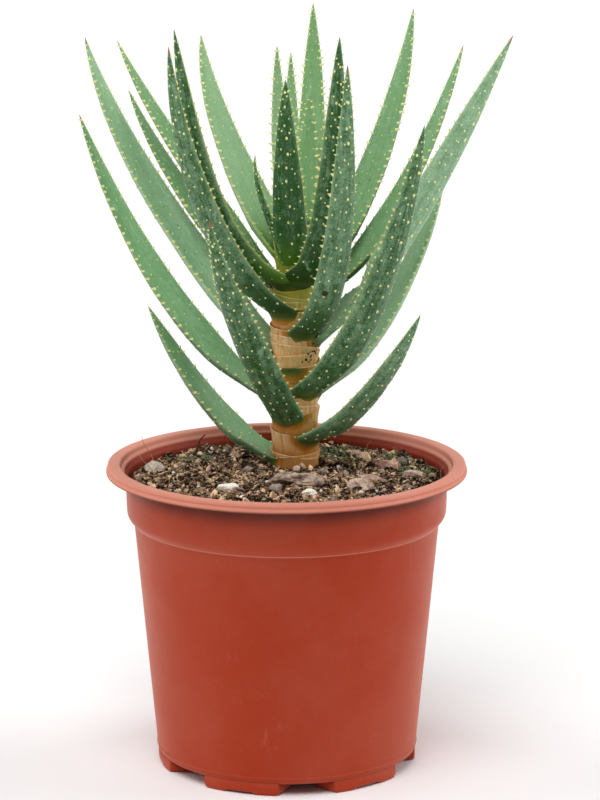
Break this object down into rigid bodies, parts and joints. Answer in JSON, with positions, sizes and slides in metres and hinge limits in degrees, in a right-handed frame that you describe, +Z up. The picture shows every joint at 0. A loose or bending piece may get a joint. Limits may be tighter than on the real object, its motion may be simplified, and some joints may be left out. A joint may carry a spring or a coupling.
{
  "type": "potted quiver tree",
  "caption": "Young quiver tree with a short tan stem and a spiral of thick toothed blue-green leaves, growing in gritty soil in a tapered terracotta-coloured nursery pot.",
  "frame": {"origin": "centre of the whole plant's footprint box on the surface that the pot's feet stand on", "axes": "+Z up along the pot's axis and stem, the longest extent; -Y towards the front, where the two lowest leaves spread to the left and right; +X to the right"},
  "size_m": [0.2322, 0.1916, 0.399],
  "materials": {
    "pot_plastic": "soft matte moulded plastic, fine specks and light scuffs",
    "soil": "crumbly dark potting mix with grit, fibres and a little moss",
    "stem": "dry tan leaf-base bands with papery edges",
    "leaf": "waxy blue-green skin with pale bloom, cream-yellow teeth and tubercles",
    "pumice": "rough, pitted",
    "perlite": "chalky white",
    "stone": "dusty grey-brown",
    "pale_stone": "dusty beige, rough",
    "pink_stone": "dusty pinkish beige, rough",
    "bark": "rough crumbly brown clump"
  },
  "bodies": {
    "root": {"pot": "pot_plastic", "soil": "soil", "stem": "stem", "leaf_01": "leaf", "leaf_02": "leaf", "leaf_03": "leaf", "leaf_04": "leaf", "leaf_05": "leaf", "leaf_06": "leaf", "leaf_07": "leaf", "leaf_08": "leaf", "leaf_09": "leaf", "leaf_10": "leaf", "leaf_11": "leaf", "leaf_12": "leaf", "leaf_13": "leaf", "leaf_14": "leaf", "leaf_15": "leaf", "leaf_16": "leaf", "leaf_17": "leaf", "leaf_18": "leaf", "leaf_19": "leaf", "leaf_20": "leaf", "leaf_21": "leaf", "leaf_22": "leaf", "leaf_23": "leaf", "pumice_round": "pumice", "pumice_small": "pumice", "perlite_front_left": "perlite", "perlite_front": "perlite", "perlite_back_left": "perlite", "stone_grey_left": "stone", "stone_grey_front": "stone", "stone_angular": "pale_stone", "stone_slab": "pale_stone", "stone_pink": "pink_stone", "stone_back_right": "stone", "stone_long": "pale_stone", "stone_flat": "stone", "bark_clump": "bark"}
  },
  "joints": []
}
